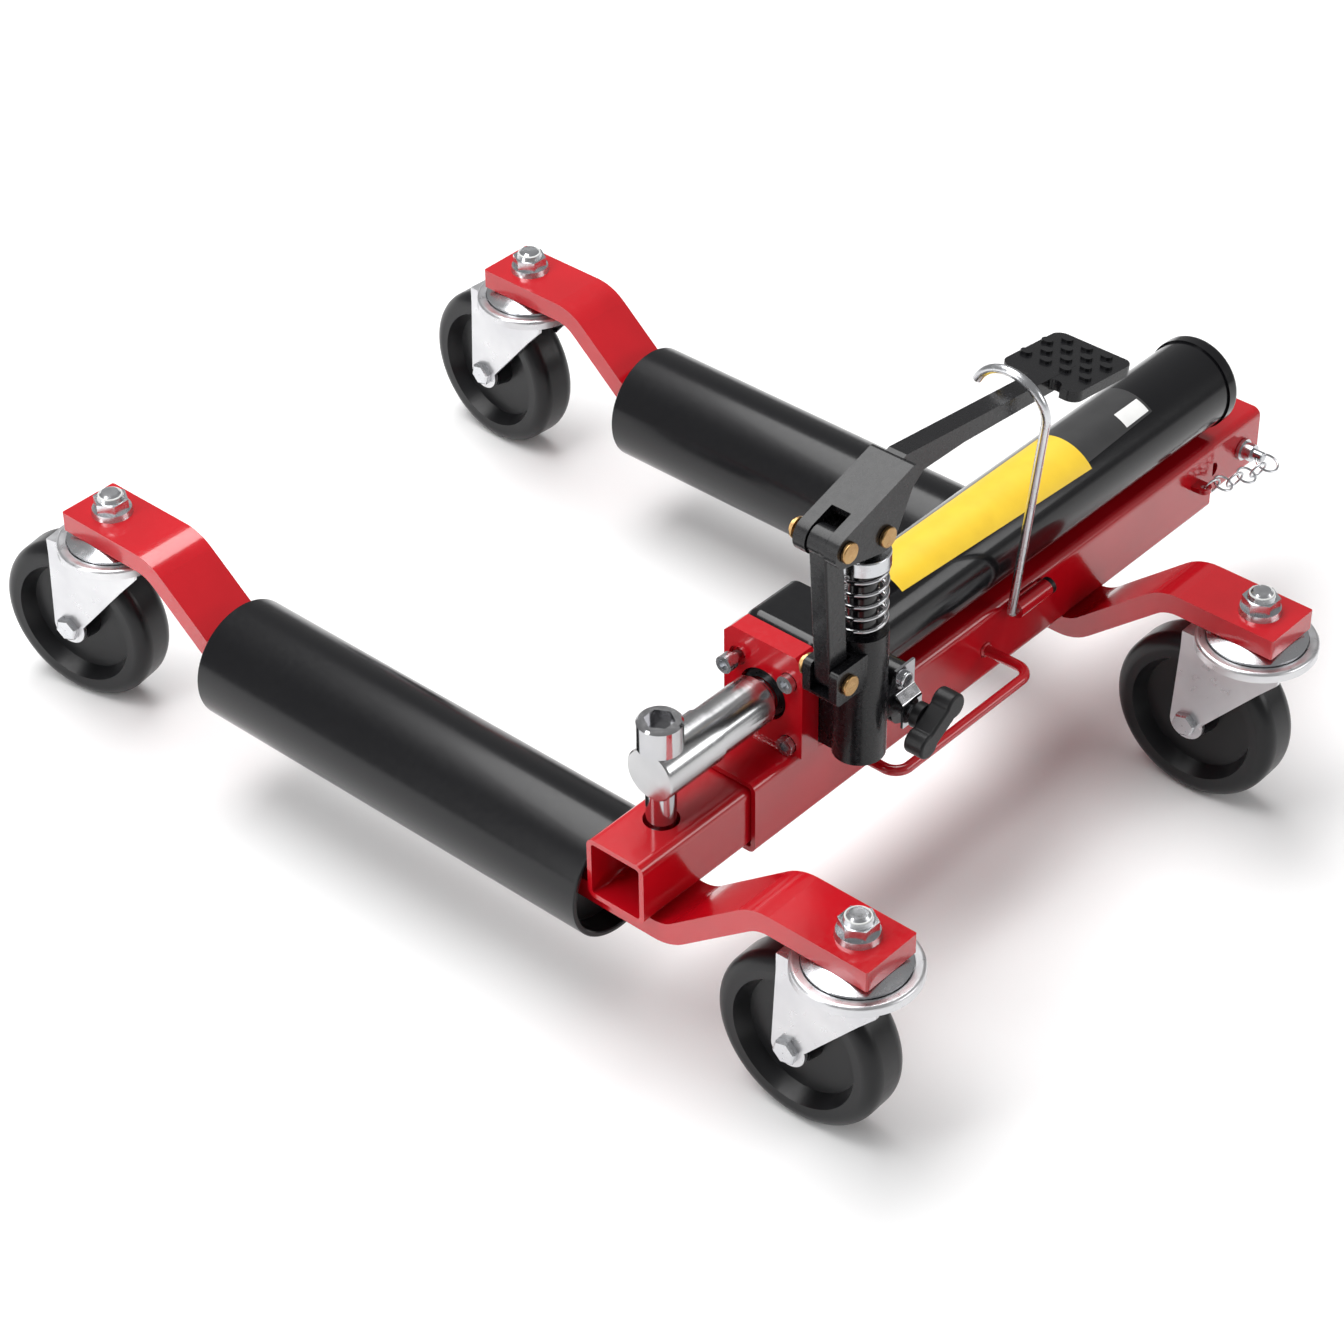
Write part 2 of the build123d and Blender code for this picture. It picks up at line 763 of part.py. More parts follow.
# ---- Coupling bolt ----
bolt_seat = ram_z + rod_eye_radius - 1.0
bar_underside = front_axis_z - bar_thickness / 2
with BuildPart() as coupling_bolt:
    with BuildSketch(Plane.XY.offset(bolt_seat)):
        with Locations((bolt_x, beam_y)):
            Circle(bolt_head_radius)
    extrude(amount=bolt_head_height)
    chamfer(coupling_bolt.edges().filter_by(GeomType.CIRCLE).group_by(Axis.Z)[-1], 1.2)
    with BuildSketch(Plane.XY.offset(bolt_seat)):
        with Locations((bolt_x, beam_y)):
            Circle(bolt_radius)
    extrude(amount=bolt_tip - bolt_seat)
    with BuildSketch(Plane.XY.offset(bolt_seat + bolt_head_height)):
        with Locations((bolt_x, beam_y)):
            RegularPolygon(bolt_hex / 2, 6, major_radius=False)
    extrude(amount=-9, mode=Mode.SUBTRACT)
pieces["coupling_bolt"] = coupling_bolt

with BuildPart() as coupling_nut:
    with BuildSketch(Plane.XY.offset(bar_underside)):
        with Locations((bolt_x, beam_y)):
            RegularPolygon(bolt_nut_flats / 2, 6, major_radius=False)
            Circle(bolt_radius, mode=Mode.SUBTRACT)
    extrude(amount=-bolt_nut_height)
pieces["coupling_nut"] = coupling_nut

# ---- Pump ----
pump_join_y = beam_y - plate_width / 2
pump_join_x = plate_back + 0.5
slot_floor = lug_bottom + 3.3
with BuildPart() as pump_body:
    with BuildSketch(Plane.XY.offset(pump_bottom)):
        with Locations((pump_x, pump_y)):
            Circle(pump_radius)
        with Locations(((pump_join_x + pump_x + pump_radius) / 2, (pump_y + pump_join_y) / 2)):
            Rectangle(pump_x + pump_radius - pump_join_x, pump_join_y - pump_y)
    extrude(amount=lug_top - 14 - pump_bottom)
    with BuildSketch(Plane.XY.offset(pump_bottom)):
        with Locations((pump_x, pump_y)):
            Circle(pump_radius)
    extrude(amount=pump_top - pump_bottom)
    with BuildSketch(Plane.XY.offset(lug_bottom)):
        with Locations(((lug_front + pump_x) / 2, pump_y)):
            Rectangle(pump_x - lug_front, lug_width)
    extrude(amount=lug_top - lug_bottom)
    fillet(pump_body.edges().filter_by(Axis.Y).group_by(Axis.X)[0], 3)
    with BuildSketch(Plane.XZ.offset(-valve_boss_front)):
        with Locations((valve_x, valve_z)):
            Circle(9.5)
        with Locations((retainer_screw_x, retainer_screw_z)):
            Circle(8.0)
        with Locations(((pump_x + valve_x) / 2, (valve_z + retainer_screw_z) / 2)):
            Rectangle(valve_x - pump_x + 12, retainer_screw_z - valve_z)
    extrude(amount=valve_boss_front - valve_boss_back)
    with BuildSketch(Plane.XY.offset(plunger_bottom)):
        with Locations((pump_x, pump_y)):
            Circle(plunger_radius + running_clearance)
    extrude(amount=pump_top - plunger_bottom, mode=Mode.SUBTRACT)
    with BuildSketch(Plane.XY.offset(slot_floor)):
        with Locations(((lug_front + pump_x - pump_radius - 1) / 2, pump_y)):
            Rectangle(pump_x - pump_radius - 1 - lug_front, slot_width)
    extrude(amount=lug_top - slot_floor, mode=Mode.SUBTRACT)
    with BuildSketch(Plane.XZ.offset(-pump_y)):
        with Locations(fulcrum):
            Circle(pin_radius)
    extrude(amount=lug_width, both=True, mode=Mode.SUBTRACT)
    with BuildSketch(Plane.XZ.offset(-valve_boss_front)):
        with Locations((valve_x, valve_z)):
            Circle(valve_spindle_radius + running_clearance)
    extrude(amount=-16, mode=Mode.SUBTRACT)
    with BuildSketch(Plane.XZ.offset(-valve_boss_front)):
        with Locations((retainer_screw_x, retainer_screw_z)):
            Circle(2.5)
    extrude(amount=-10, mode=Mode.SUBTRACT)
pieces["pump_body"] = pump_body

with BuildPart() as pump_plunger:
    with BuildSketch(Plane.XY.offset(plunger_bottom + 16)):
        with Locations((pump_x, pump_y)):
            Circle(plunger_radius)
    extrude(amount=cup_top - plunger_bottom - 16)
    with BuildSketch(Plane.XZ.offset(-pump_y)):
        with Locations(plunger_pin):
            Circle(tongue_length / 2)
        with Locations((pump_x, (cup_top + plunger_pin_z) / 2)):
            Rectangle(tongue_length, plunger_pin_z - cup_top)
        with Locations(plunger_pin):
            Circle(pin_radius, mode=Mode.SUBTRACT)
    extrude(amount=tongue_width / 2, both=True)
pieces["pump_plunger"] = pump_plunger

with BuildPart() as spring_cup:
    with BuildSketch(Plane.XY.offset(cup_bottom)):
        with Locations((pump_x, pump_y)):
            Circle(cup_radius)
            Circle(plunger_radius, mode=Mode.SUBTRACT)
    extrude(amount=cup_top - cup_bottom)
    fillet(spring_cup.edges().filter_by(GeomType.CIRCLE).group_by(Axis.Z)[-1].sort_by(SortBy.RADIUS)[-1], 1.2)
    with BuildSketch(Plane.XY.offset(cup_bottom)):
        with Locations((pump_x, pump_y)):
            Circle(cup_radius - 1.4)
            Circle(plunger_radius + 1.0, mode=Mode.SUBTRACT)
    extrude(amount=1.0, mode=Mode.SUBTRACT)
pieces["spring_cup"] = spring_cup

spring_low = pump_top + spring_wire + 0.1
spring_high = cup_bottom - spring_wire - 0.1
spring_pitch = (spring_high - spring_low) / spring_turns
with BuildPart() as pump_spring:
    with BuildLine(Plane((pump_x, pump_y, spring_low))) as coil:
        Helix(pitch=spring_pitch, height=spring_high - spring_low, radius=spring_radius)
    with BuildSketch(Plane(origin=coil.line @ 0, z_dir=coil.line % 0)):
        Circle(spring_wire)
    sweep(path=coil.line, is_frenet=True)
pieces["pump_spring"] = pump_spring

link_angle = atan2(lever_pivot[0] - fulcrum[0], lever_pivot[1] - fulcrum[1])
link_length = hypot(lever_pivot[0] - fulcrum[0], lever_pivot[1] - fulcrum[1])
with BuildPart() as pump_link:
    with BuildSketch(Plane.XZ.offset(-pump_y)):
        with Locations(lever_pivot):
            Circle(link_top_radius)
        with Locations(fulcrum):
            Circle(link_width / 2 - 0.9)
        middle = ((lever_pivot[0] + fulcrum[0]) / 2, (lever_pivot[1] + fulcrum[1]) / 2)
        with Locations(Location(middle, -degrees(link_angle))):
            Rectangle(link_width, link_length - 4)
        with Locations(lever_pivot):
            Circle(pin_radius, mode=Mode.SUBTRACT)
        with Locations(fulcrum):
            Circle(pin_radius + running_clearance, mode=Mode.SUBTRACT)
    extrude(amount=link_thickness / 2, both=True)
    fillet(pump_link.edges().filter_by(GeomType.LINE).filter_by(Axis.Y, reverse=True), 1.2)
pieces["pump_link"] = pump_link

pieces["fulcrum_pin"] = pin_with_clip(*fulcrum, lug_width)
pieces["lever_pin"] = pin_with_clip(*lever_pivot, cheek_width)
pieces["plunger_pin"] = pin_with_clip(*plunger_pin, cheek_width)

# ---- Pedal lever ----
arm_slope = (cos(radians(arm_drop_angle)), -sin(radians(arm_drop_angle)))
arm_reach = (pad_x - elbow[0]) / arm_slope[0]
arm_end = (pad_x, elbow[1] + arm_reach * arm_slope[1])
with BuildPart() as pedal_lever:
    with BuildSketch(Plane.XZ.offset(-pump_y)):
        with Locations(lever_pivot, plunger_pin):
            Circle(lobe_radius)
        with Locations((elbow[0] - 4, elbow[1] - 4)):
            Circle(3.5)
        make_hull()
    extrude(amount=cheek_width / 2, both=True)
    with BuildSketch(Plane.XZ.offset(-pump_y)):
        with BuildLine():
            Polyline(
                (lever_pivot[0] - 12, lever_pivot[1] - 20),
                (lever_pivot[0] - 12, lever_pivot[1] + 20),
                (lever_pivot[0] + 9, lever_pivot[1] + 20),
                (lever_pivot[0] + 13, lever_pivot[1] + 11 - roof_thickness + 4),
                (plunger_pin[0] + 11, plunger_pin[1] + 25 - roof_thickness - 3),
                (plunger_pin[0] + 20, plunger_pin[1] - 4),
                (plunger_pin[0] + 20, plunger_pin[1] - 20),
                close=True,
            )
        make_face()
    extrude(amount=slot_width / 2, both=True, mode=Mode.SUBTRACT)
    with BuildSketch(Plane.XZ.offset(-pump_y)):
        with BuildLine():
            Polyline(
                (elbow[0] - 12, elbow[1] - 4),
                elbow,
                arm_end,
                (arm_end[0], arm_end[1] - arm_height_tip),
                (elbow[0] + 46, elbow[1] - 5.5 - arm_height_root + 2),
                (elbow[0] + 14, elbow[1] - arm_height_root - 3),
                (elbow[0] + 1, elbow[1] - 26),
                (elbow[0] - 6, elbow[1] - 26),
                close=True,
            )
        make_face()
    extrude(amount=arm_width / 2, both=True)
    with BuildSketch(Plane.XZ.offset(-pump_y)):
        with Locations(lever_pivot):
            Circle(pin_radius + running_clearance)
        with Locations(plunger_pin):
            Circle(pin_radius + open_pivot_clearance)
    extrude(amount=cheek_width, both=True, mode=Mode.SUBTRACT)
    tilt = radians(arm_drop_angle)
    pad_plane = Plane(origin=(pad_x, pump_y, pad_top), x_dir=(cos(tilt), 0, -sin(tilt)), z_dir=(sin(tilt), 0, cos(tilt)))
    with BuildSketch(pad_plane.offset(-pad_thickness)):
        RectangleRounded(pad_length, pad_width, pad_corner)
        with Locations((-pad_length / 2, -pad_width / 2 + 15)):
            Circle(5.0, mode=Mode.SUBTRACT)
    extrude(amount=pad_thickness)
    with BuildSketch(pad_plane):
        for column, (first, count) in enumerate(stud_columns):
            for step in range(first, first + count):
                along = stud_start[0] + stud_pitch_x * (column - step)
                across = stud_start[1] - stud_pitch_y * (column + step)
                with Locations((along, across)):
                    RectangleRounded(stud_length, stud_width, stud_length / 2 - 0.2)
    extrude(amount=stud_height)
pieces["pedal_lever"] = pedal_lever

# ---- Release valve ----
with BuildPart() as release_spindle:
    with BuildSketch(Plane.XZ.offset(-(valve_boss_front + 14))):
        with Locations((valve_x, valve_z)):
            Circle(valve_spindle_radius)
    extrude(amount=valve_boss_front + 14 - knob_y - 2)
pieces["release_spindle"] = release_spindle

with BuildPart() as release_knob:
    with BuildSketch(Plane.XZ.offset(-(knob_y + knob_thickness / 2))):
        lobe = Vector(knob_half_span, 0).rotate(Axis.Z, knob_angle)
        with Locations((valve_x + lobe.X, valve_z + lobe.Y), (valve_x - lobe.X, valve_z - lobe.Y)):
            Circle(knob_lobe_radius)
        with Locations(Location((valve_x, valve_z), knob_angle)):
            Rectangle(2 * knob_half_span, 10.5)
    extrude(amount=knob_thickness)
    fillet(release_knob.edges(), 1.6)
    with BuildSketch(Plane.XZ.offset(-(knob_y + knob_thickness / 2))):
        with Locations((valve_x, valve_z)):
            Circle(7.2)
    extrude(amount=-5.0)
    with BuildSketch(Plane.XZ.offset(-(knob_y + 12))):
        with Locations((valve_x, valve_z)):
            Circle(valve_spindle_radius)
    extrude(amount=10, mode=Mode.SUBTRACT)
pieces["release_knob"] = release_knob

plate_low_y = valve_boss_front - 6.0
with BuildPart() as valve_retainer:
    with BuildSketch(Plane.YZ.offset(valve_x - 1)):
        with BuildLine():
            FilletPolyline(
                (valve_boss_front - 0.8, retainer_screw_z + 8),
                (valve_boss_front - 0.8, retainer_screw_z - 7),
                (plate_low_y, valve_z + 8),
                (plate_low_y, valve_z - 6),
                radius=1.6,
            )
        trace(line_width=1.5)
    extrude(amount=7.5, both=True)
    with BuildSketch(Plane.XZ.offset(-valve_boss_front)):
        with Locations((valve_x, valve_z)):
            Circle(valve_spindle_radius + 0.4)
        with Locations((retainer_screw_x, retainer_screw_z)):
            Circle(2.5)
    extrude(amount=12, mode=Mode.SUBTRACT)
pieces["valve_retainer"] = valve_retainer

with BuildPart() as retainer_screw:
    with BuildSketch(Plane.XZ.offset(-(valve_boss_front - 1.55))):
        with Locations((retainer_screw_x, retainer_screw_z)):
            Circle(4.6)
    extrude(amount=2.6)
    fillet(retainer_screw.edges().filter_by(GeomType.CIRCLE).group_by(Axis.Y)[0], 1.2)
    with BuildSketch(Plane.XZ.offset(-(valve_boss_front - 1.55))):
        with Locations((retainer_screw_x, retainer_screw_z)):
            Circle(2.5)
    extrude(amount=-11)
    with BuildSketch(Plane.XZ.offset(-(valve_boss_front - 4.15))):
        with Locations((retainer_screw_x, retainer_screw_z)):
            Rectangle(5.4, 1.1)
            Rectangle(1.1, 5.4)
    extrude(amount=-1.3, mode=Mode.SUBTRACT)
pieces["retainer_screw"] = retainer_screw

# ---- Guard rail ----
with BuildPart() as guard_rail:
    with BuildLine() as rail_path:
        FilletPolyline(
            (rail_start, outer_side, rail_z),
            (rail_start, rail_reach, rail_z),
            (rail_end, rail_reach, rail_z),
            (rail_end, outer_side, rail_z),
            radius=rail_bend,
        )
    with BuildSketch(Plane(origin=rail_path.line @ 0, z_dir=rail_path.line % 0)):
        Circle(rail_radius)
    sweep(path=rail_path.line)
pieces["guard_rail"] = guard_rail

# ---- Pedal hook ----
hook_y = outer_side - hook_tube_radius
with BuildPart() as hook_tube:
    with BuildSketch(Plane.YZ.offset(hook_tube_start)):
        with Locations((hook_y, hook_tube_z)):
            Circle(hook_tube_radius)
            Circle(hook_radius + running_clearance, mode=Mode.SUBTRACT)
    extrude(amount=hook_tube_end - hook_tube_start)
pieces["hook_tube"] = hook_tube

crown_y = pump_y + arm_width / 2 + 11.8
with BuildPart() as pedal_hook:
    with BuildLine() as hook_path:
        FilletPolyline(
            (hook_tube_end + 5, hook_y, hook_tube_z),
            (hook_tube_start - 4, hook_y, hook_tube_z),
            (hook_top[0], crown_y - 39.2, hook_top[1]),
            (hook_top[0], crown_y, hook_top[1]),
            (hook_top[0], crown_y + 6.9, hook_top[1] - 12.4),
            radius=[3.4, hook_bend, hook_bend],
        )
    with BuildSketch(Plane(origin=hook_path.line @ 0, z_dir=hook_path.line % 0)):
        Circle(hook_radius)
    sweep(path=hook_path.line)
pieces["pedal_hook"] = pedal_hook

with BuildPart() as hook_collar:
    with BuildSketch(Plane.YZ.offset(hook_tube_end + 0.3)):
        with Locations((hook_y, hook_tube_z)):
            Circle(hook_tube_radius)
            Circle(hook_radius, mode=Mode.SUBTRACT)
    extrude(amount=2.8)
pieces["hook_collar"] = hook_collar

# ---- Safety pin and chain ----
pin_ring_y = inner_side - 12.0
outward = Vector(0, -0.94, -0.34)
with BuildPart() as safety_pin:
    with BuildSketch(Plane.XZ.offset(-(inner_side - 15.5))):
        with Locations((pin_x, beam_z)):
            Circle(lock_pin_neck)
    extrude(amount=-8)
    with BuildSketch(Plane.XZ.offset(-(inner_side - 8.4))):
        with Locations((pin_x, beam_z)):
            Circle(lock_pin_radius)
    extrude(amount=-(inner_size + 8.4 + 8))
    ends = safety_pin.edges().filter_by(GeomType.CIRCLE).group_by(Axis.Y)
    fillet(ends[0] + ends[-1], 1.2)
    with BuildSketch(Plane.XZ.offset(-(inner_side - 0.4))):
        with Locations((pin_x, beam_z)):
            Circle(lock_pin_head + 1.4)
    extrude(amount=2.0)
    with BuildSketch(Plane.XZ.offset(-(inner_side - 2.4))):
        with Locations((pin_x, beam_z)):
            Circle(lock_pin_head)
    extrude(amount=6.0)
    with BuildSketch(Plane.YZ.offset(pin_x)):
        with Locations((pin_ring_y - 0.4, beam_z - 0.15)):
            Circle(1.3)
    extrude(amount=10, both=True, mode=Mode.SUBTRACT)
pieces["safety_pin"] = safety_pin

split_centre = Vector(pin_x, pin_ring_y, beam_z) + outward * split_ring_radius
with BuildPart() as pin_ring:
    with Locations(Plane(origin=split_centre, x_dir=(1, 0, 0), z_dir=Vector(1, 0, 0).cross(outward))):
        Torus(split_ring_radius, ring_wire)
pieces["pin_ring"] = pin_ring

link_overlap = 3.7 * ring_wire
lug_eye = Vector(lug_x, lug_y - 0.6, lug_z)
chain_end = split_centre - Vector(split_ring_radius + ring_radius - link_overlap, 0, 0)
chain_start = lug_eye + (chain_end - lug_eye).normalized() * ring_radius
chain_span = chain_end - chain_start
with BuildPart() as lock_chain:
    for ring in range(ring_count):
        along = ring / (ring_count - 1)
        centre = chain_start + chain_span * along + Vector(0, 0, -4 * chain_sag * along * (1 - along))
        heading = (chain_span + Vector(0, 0, -4 * chain_sag * (1 - 2 * along))).normalized()
        even = heading.cross(heading.cross(outward)).normalized()
        facing = heading.cross(even) if ring % 2 else even
        with Locations(Plane(origin=centre, x_dir=heading, z_dir=facing)):
            Torus(ring_radius, ring_wire)
pieces["lock_chain"] = lock_chain

# ---- Origin: the middle of the footprint, on the floor ----
lows = []
highs = []
for piece in pieces.values():
    box = piece.part.bounding_box()
    lows.append(box.min)
    highs.append(box.max)
origin_x = (min(low.X for low in lows) + max(high.X for high in highs)) / 2
origin_y = (min(low.Y for low in lows) + max(high.Y for high in highs)) / 2
origin_z = min(low.Z for low in lows)

os.makedirs("parts", exist_ok=True)
for name, piece in pieces.items():
    placed = piece.part.moved(Location((-origin_x, -origin_y, -origin_z)))
    placed.label = name
    export_step(placed, "parts/" + name + ".step")
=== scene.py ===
"""Hydraulic wheel dolly: looks, floor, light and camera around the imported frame."""

import math

import bmesh
import bpy
from mathutils import Matrix, Vector


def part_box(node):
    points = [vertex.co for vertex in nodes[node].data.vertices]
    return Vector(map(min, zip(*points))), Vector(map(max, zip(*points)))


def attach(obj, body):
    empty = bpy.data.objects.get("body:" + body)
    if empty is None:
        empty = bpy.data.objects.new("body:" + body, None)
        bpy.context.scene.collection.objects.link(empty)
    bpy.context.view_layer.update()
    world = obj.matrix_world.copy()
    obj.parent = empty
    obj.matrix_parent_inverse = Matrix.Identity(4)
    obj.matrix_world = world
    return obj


MM = 0.001

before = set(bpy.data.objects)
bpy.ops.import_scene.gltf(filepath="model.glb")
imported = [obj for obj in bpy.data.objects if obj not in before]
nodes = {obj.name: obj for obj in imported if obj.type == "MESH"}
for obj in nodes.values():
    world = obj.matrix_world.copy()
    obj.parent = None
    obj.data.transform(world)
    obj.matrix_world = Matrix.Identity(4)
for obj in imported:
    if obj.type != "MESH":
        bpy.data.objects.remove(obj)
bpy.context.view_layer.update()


# ---- Materials ----
def linked(tree, kind, inputs=None, **settings):
    """A new node with its settings and unlinked inputs filled in."""
    node = tree.nodes.new(kind)
    for name, value in settings.items():
        setattr(node, name, value)
    for name, value in (inputs or {}).items():
        node.inputs[name].default_value = value
    return node


def stretched(tree, stretch):
    """Object coordinates, stretched per axis."""
    coords = tree.nodes.new("ShaderNodeTexCoord")
    mapping = linked(tree, "ShaderNodeMapping", {"Scale": stretch})
    tree.links.new(coords.outputs["Object"], mapping.inputs["Vector"])
    return mapping.outputs["Vector"]


def noise(tree, vector, scale, detail=3.0):
    """Noise texture in object space."""
    node = linked(tree, "ShaderNodeTexNoise", {"Scale": scale, "Detail": detail})
    tree.links.new(vector, node.inputs["Vector"])
    return node.outputs["Fac"]


def ranged(tree, value, low, high):
    """The value between 0.3 and 0.7, mapped to a range."""
    limits = {"From Min": 0.3, "From Max": 0.7, "To Min": low, "To Max": high}
    node = linked(tree, "ShaderNodeMapRange", limits)
    tree.links.new(value, node.inputs["Value"])
    return node.outputs["Result"]


def finish_of(
    name,
    light,
    dark,
    rough=(0.25, 0.35),
    metallic=0.0,
    coat=0.0,
    specular=0.5,
    patches=18.0,
    grain=900.0,
    relief=0.03,
    depth=0.0002,
    stretch=(1, 1, 1),
    fine_detail=2.0,
):
    """Painted, plated or moulded surface: two tones in soft patches, uneven gloss and a fine relief."""
    material = bpy.data.materials.new(name)
    material.use_nodes = True
    tree = material.node_tree
    shader = tree.nodes["Principled BSDF"]
    shader.inputs["Metallic"].default_value = metallic
    shader.inputs["Coat Weight"].default_value = coat
    shader.inputs["Specular IOR Level"].default_value = specular
    shader.inputs["Coat Roughness"].default_value = 0.08
    plain = stretched(tree, (1, 1, 1))
    along = stretched(tree, stretch)
    tones = linked(tree, "ShaderNodeMix", data_type="RGBA")
    tones.inputs[6].default_value = (*dark, 1)
    tones.inputs[7].default_value = (*light, 1)
    tree.links.new(ranged(tree, noise(tree, plain, patches), 0.0, 1.0), tones.inputs[0])
    tree.links.new(tones.outputs[2], shader.inputs["Base Color"])
    fine = noise(tree, along, grain, fine_detail)
    tree.links.new(ranged(tree, fine, *rough), shader.inputs["Roughness"])
    bump = linked(tree, "ShaderNodeBump", {"Strength": relief, "Distance": depth})
    tree.links.new(fine, bump.inputs["Height"])
    tree.links.new(bump.outputs["Normal"], shader.inputs["Normal"])
    return material


red = finish_of(
    "red_enamel", (0.50, 0.003, 0.010), (0.41, 0.002, 0.007),
    rough=(0.14, 0.22), coat=0.5, grain=420, relief=0.04,
)
black = finish_of(
    "black_enamel", (0.006, 0.006, 0.007), (0.004, 0.004, 0.005),
    specular=0.3, rough=(0.15, 0.19), coat=0.2, grain=300, relief=0.012,
)
cast = finish_of(
    "cast_black", (0.007, 0.007, 0.008), (0.004, 0.004, 0.005),
    specular=0.3, rough=(0.24, 0.30), coat=0.1, grain=300, relief=0.05, depth=0.0002,
)
roller_coat = finish_of(
    "roller_coat", (0.006, 0.006, 0.007), (0.004, 0.004, 0.005),
    specular=0.3, rough=(0.20, 0.24), coat=0.1, grain=300, relief=0.012, patches=8,
)
plastic = finish_of(
    "black_plastic", (0.010, 0.010, 0.011), (0.007, 0.007, 0.008),
    specular=0.3, rough=(0.34, 0.46), grain=900, relief=0.1,
)
wheel_black = finish_of(
    "wheel_black", (0.008, 0.008, 0.009), (0.006, 0.006, 0.007),
    specular=0.3, rough=(0.28, 0.34), grain=300, relief=0.03,
)
oxide = finish_of(
    "black_oxide", (0.03, 0.03, 0.032), (0.015, 0.015, 0.016),
    rough=(0.25, 0.4), metallic=0.8, grain=900, relief=0.05,
)
zinc = finish_of(
    "zinc_plate", (0.66, 0.67, 0.69), (0.52, 0.53, 0.55),
    rough=(0.18, 0.30), metallic=1.0, patches=30, grain=160, relief=0.006,
)
pressed = finish_of(
    "zinc_pressed", (0.68, 0.68, 0.69), (0.56, 0.56, 0.58),
    rough=(0.26, 0.38), metallic=0.9, patches=24, grain=160, relief=0.01,
)
bright = finish_of(
    "bright_steel", (0.52, 0.52, 0.53), (0.42, 0.42, 0.44),
    rough=(0.08, 0.16), metallic=1.0, patches=30, grain=300, relief=0.01,
)
turned = finish_of(
    "turned_steel", (0.55, 0.55, 0.55), (0.45, 0.45, 0.46),
    rough=(0.14, 0.26), metallic=1.0, grain=90, relief=0.06, stretch=(30, 1, 1),
)
yellow_zinc = finish_of(
    "yellow_zinc", (0.50, 0.32, 0.14), (0.38, 0.22, 0.09),
    rough=(0.25, 0.38), metallic=1.0, patches=120, grain=500, relief=0.03,
)
nylon = finish_of(
    "nylon", (0.62, 0.63, 0.62), (0.52, 0.53, 0.52),
    rough=(0.4, 0.5), patches=60, grain=700, relief=0.03,
)

MATERIALS = {
    "outer_tube": red,
    "inner_tube": red,
    "front_bar": red,
    "rear_bar": red,
    "ram_mount_plate": red,
    "guard_rail": red,
    "hook_tube": red,
    "cylinder_head": black,
    "cylinder_barrel": black,
    "cylinder_end_cap": black,
    "pump_body": cast,
    "pump_link": cast,
    "pedal_lever": cast,
    "pump_plunger": black,
    "front_roller": roller_coat,
    "rear_roller": roller_coat,
    "gland_nut": oxide,
    "ram_piston": oxide,
    "hook_collar": plastic,
    "front_roller_bushes": plastic,
    "rear_roller_bushes": plastic,
    "release_knob": plastic,
    "oil_filler_plug": plastic,
    "ram_rod": bright,
    "rod_end": turned,
    "coupling_bolt": bright,
    "pump_spring": bright,
    "valve_retainer": bright,
    "release_spindle": bright,
    "front_race_balls": bright,
    "rear_race_balls": bright,
    "fulcrum_pin": yellow_zinc,
    "lever_pin": yellow_zinc,
    "plunger_pin": yellow_zinc,
}
for name, node in nodes.items():
    if name.startswith("wheel_"):
        finish = wheel_black
    elif name.startswith("fork_"):
        finish = pressed
    else:
        finish = MATERIALS.get(name, zinc)
    node.data.materials.clear()
    node.data.materials.append(finish)


# ---- Softened edges on the CAD pieces ----
EDGES = {
    "outer_tube": 0.7,
    "inner_tube": 0.7,
    "front_bar": 1.0,
    "rear_bar": 1.0,
    "ram_mount_plate": 1.0,
    "cylinder_head": 1.0,
    "pump_body": 0.9,
    "pump_link": 0.7,
    "pedal_lever": 0.8,
    "rod_end": 0.6,
}
for name, node in nodes.items():
    bevel = node.modifiers.new("edges", "BEVEL")
    bevel.width = EDGES.get(name, 0.3) * MM
    bevel.segments = 2
    bevel.limit_method = "ANGLE"
    bevel.angle_limit = math.radians(40)
    bevel.harden_normals = True
    bevel.use_clamp_overlap = True


# ---- Helpers for added pieces ----
def add_piece(name, mesh, finish, body):
    """A new mesh piece that rides on a body."""
    piece = bpy.data.objects.new(name, mesh)
    bpy.context.scene.collection.objects.link(piece)
    mesh.materials.append(finish)
    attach(piece, body)
    return piece


def smooth(mesh):
    for face in mesh.polygons:
        face.use_smooth = True


# ---- Generic labels on the cylinder ----
barrel_low, barrel_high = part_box("cylinder_barrel")
barrel_y = (barrel_low.y + barrel_high.y) / 2
barrel_z = (barrel_low.z + barrel_high.z) / 2
barrel_radius = (barrel_high.y - barrel_low.y) / 2
head_low, head_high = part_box("cylinder_head")


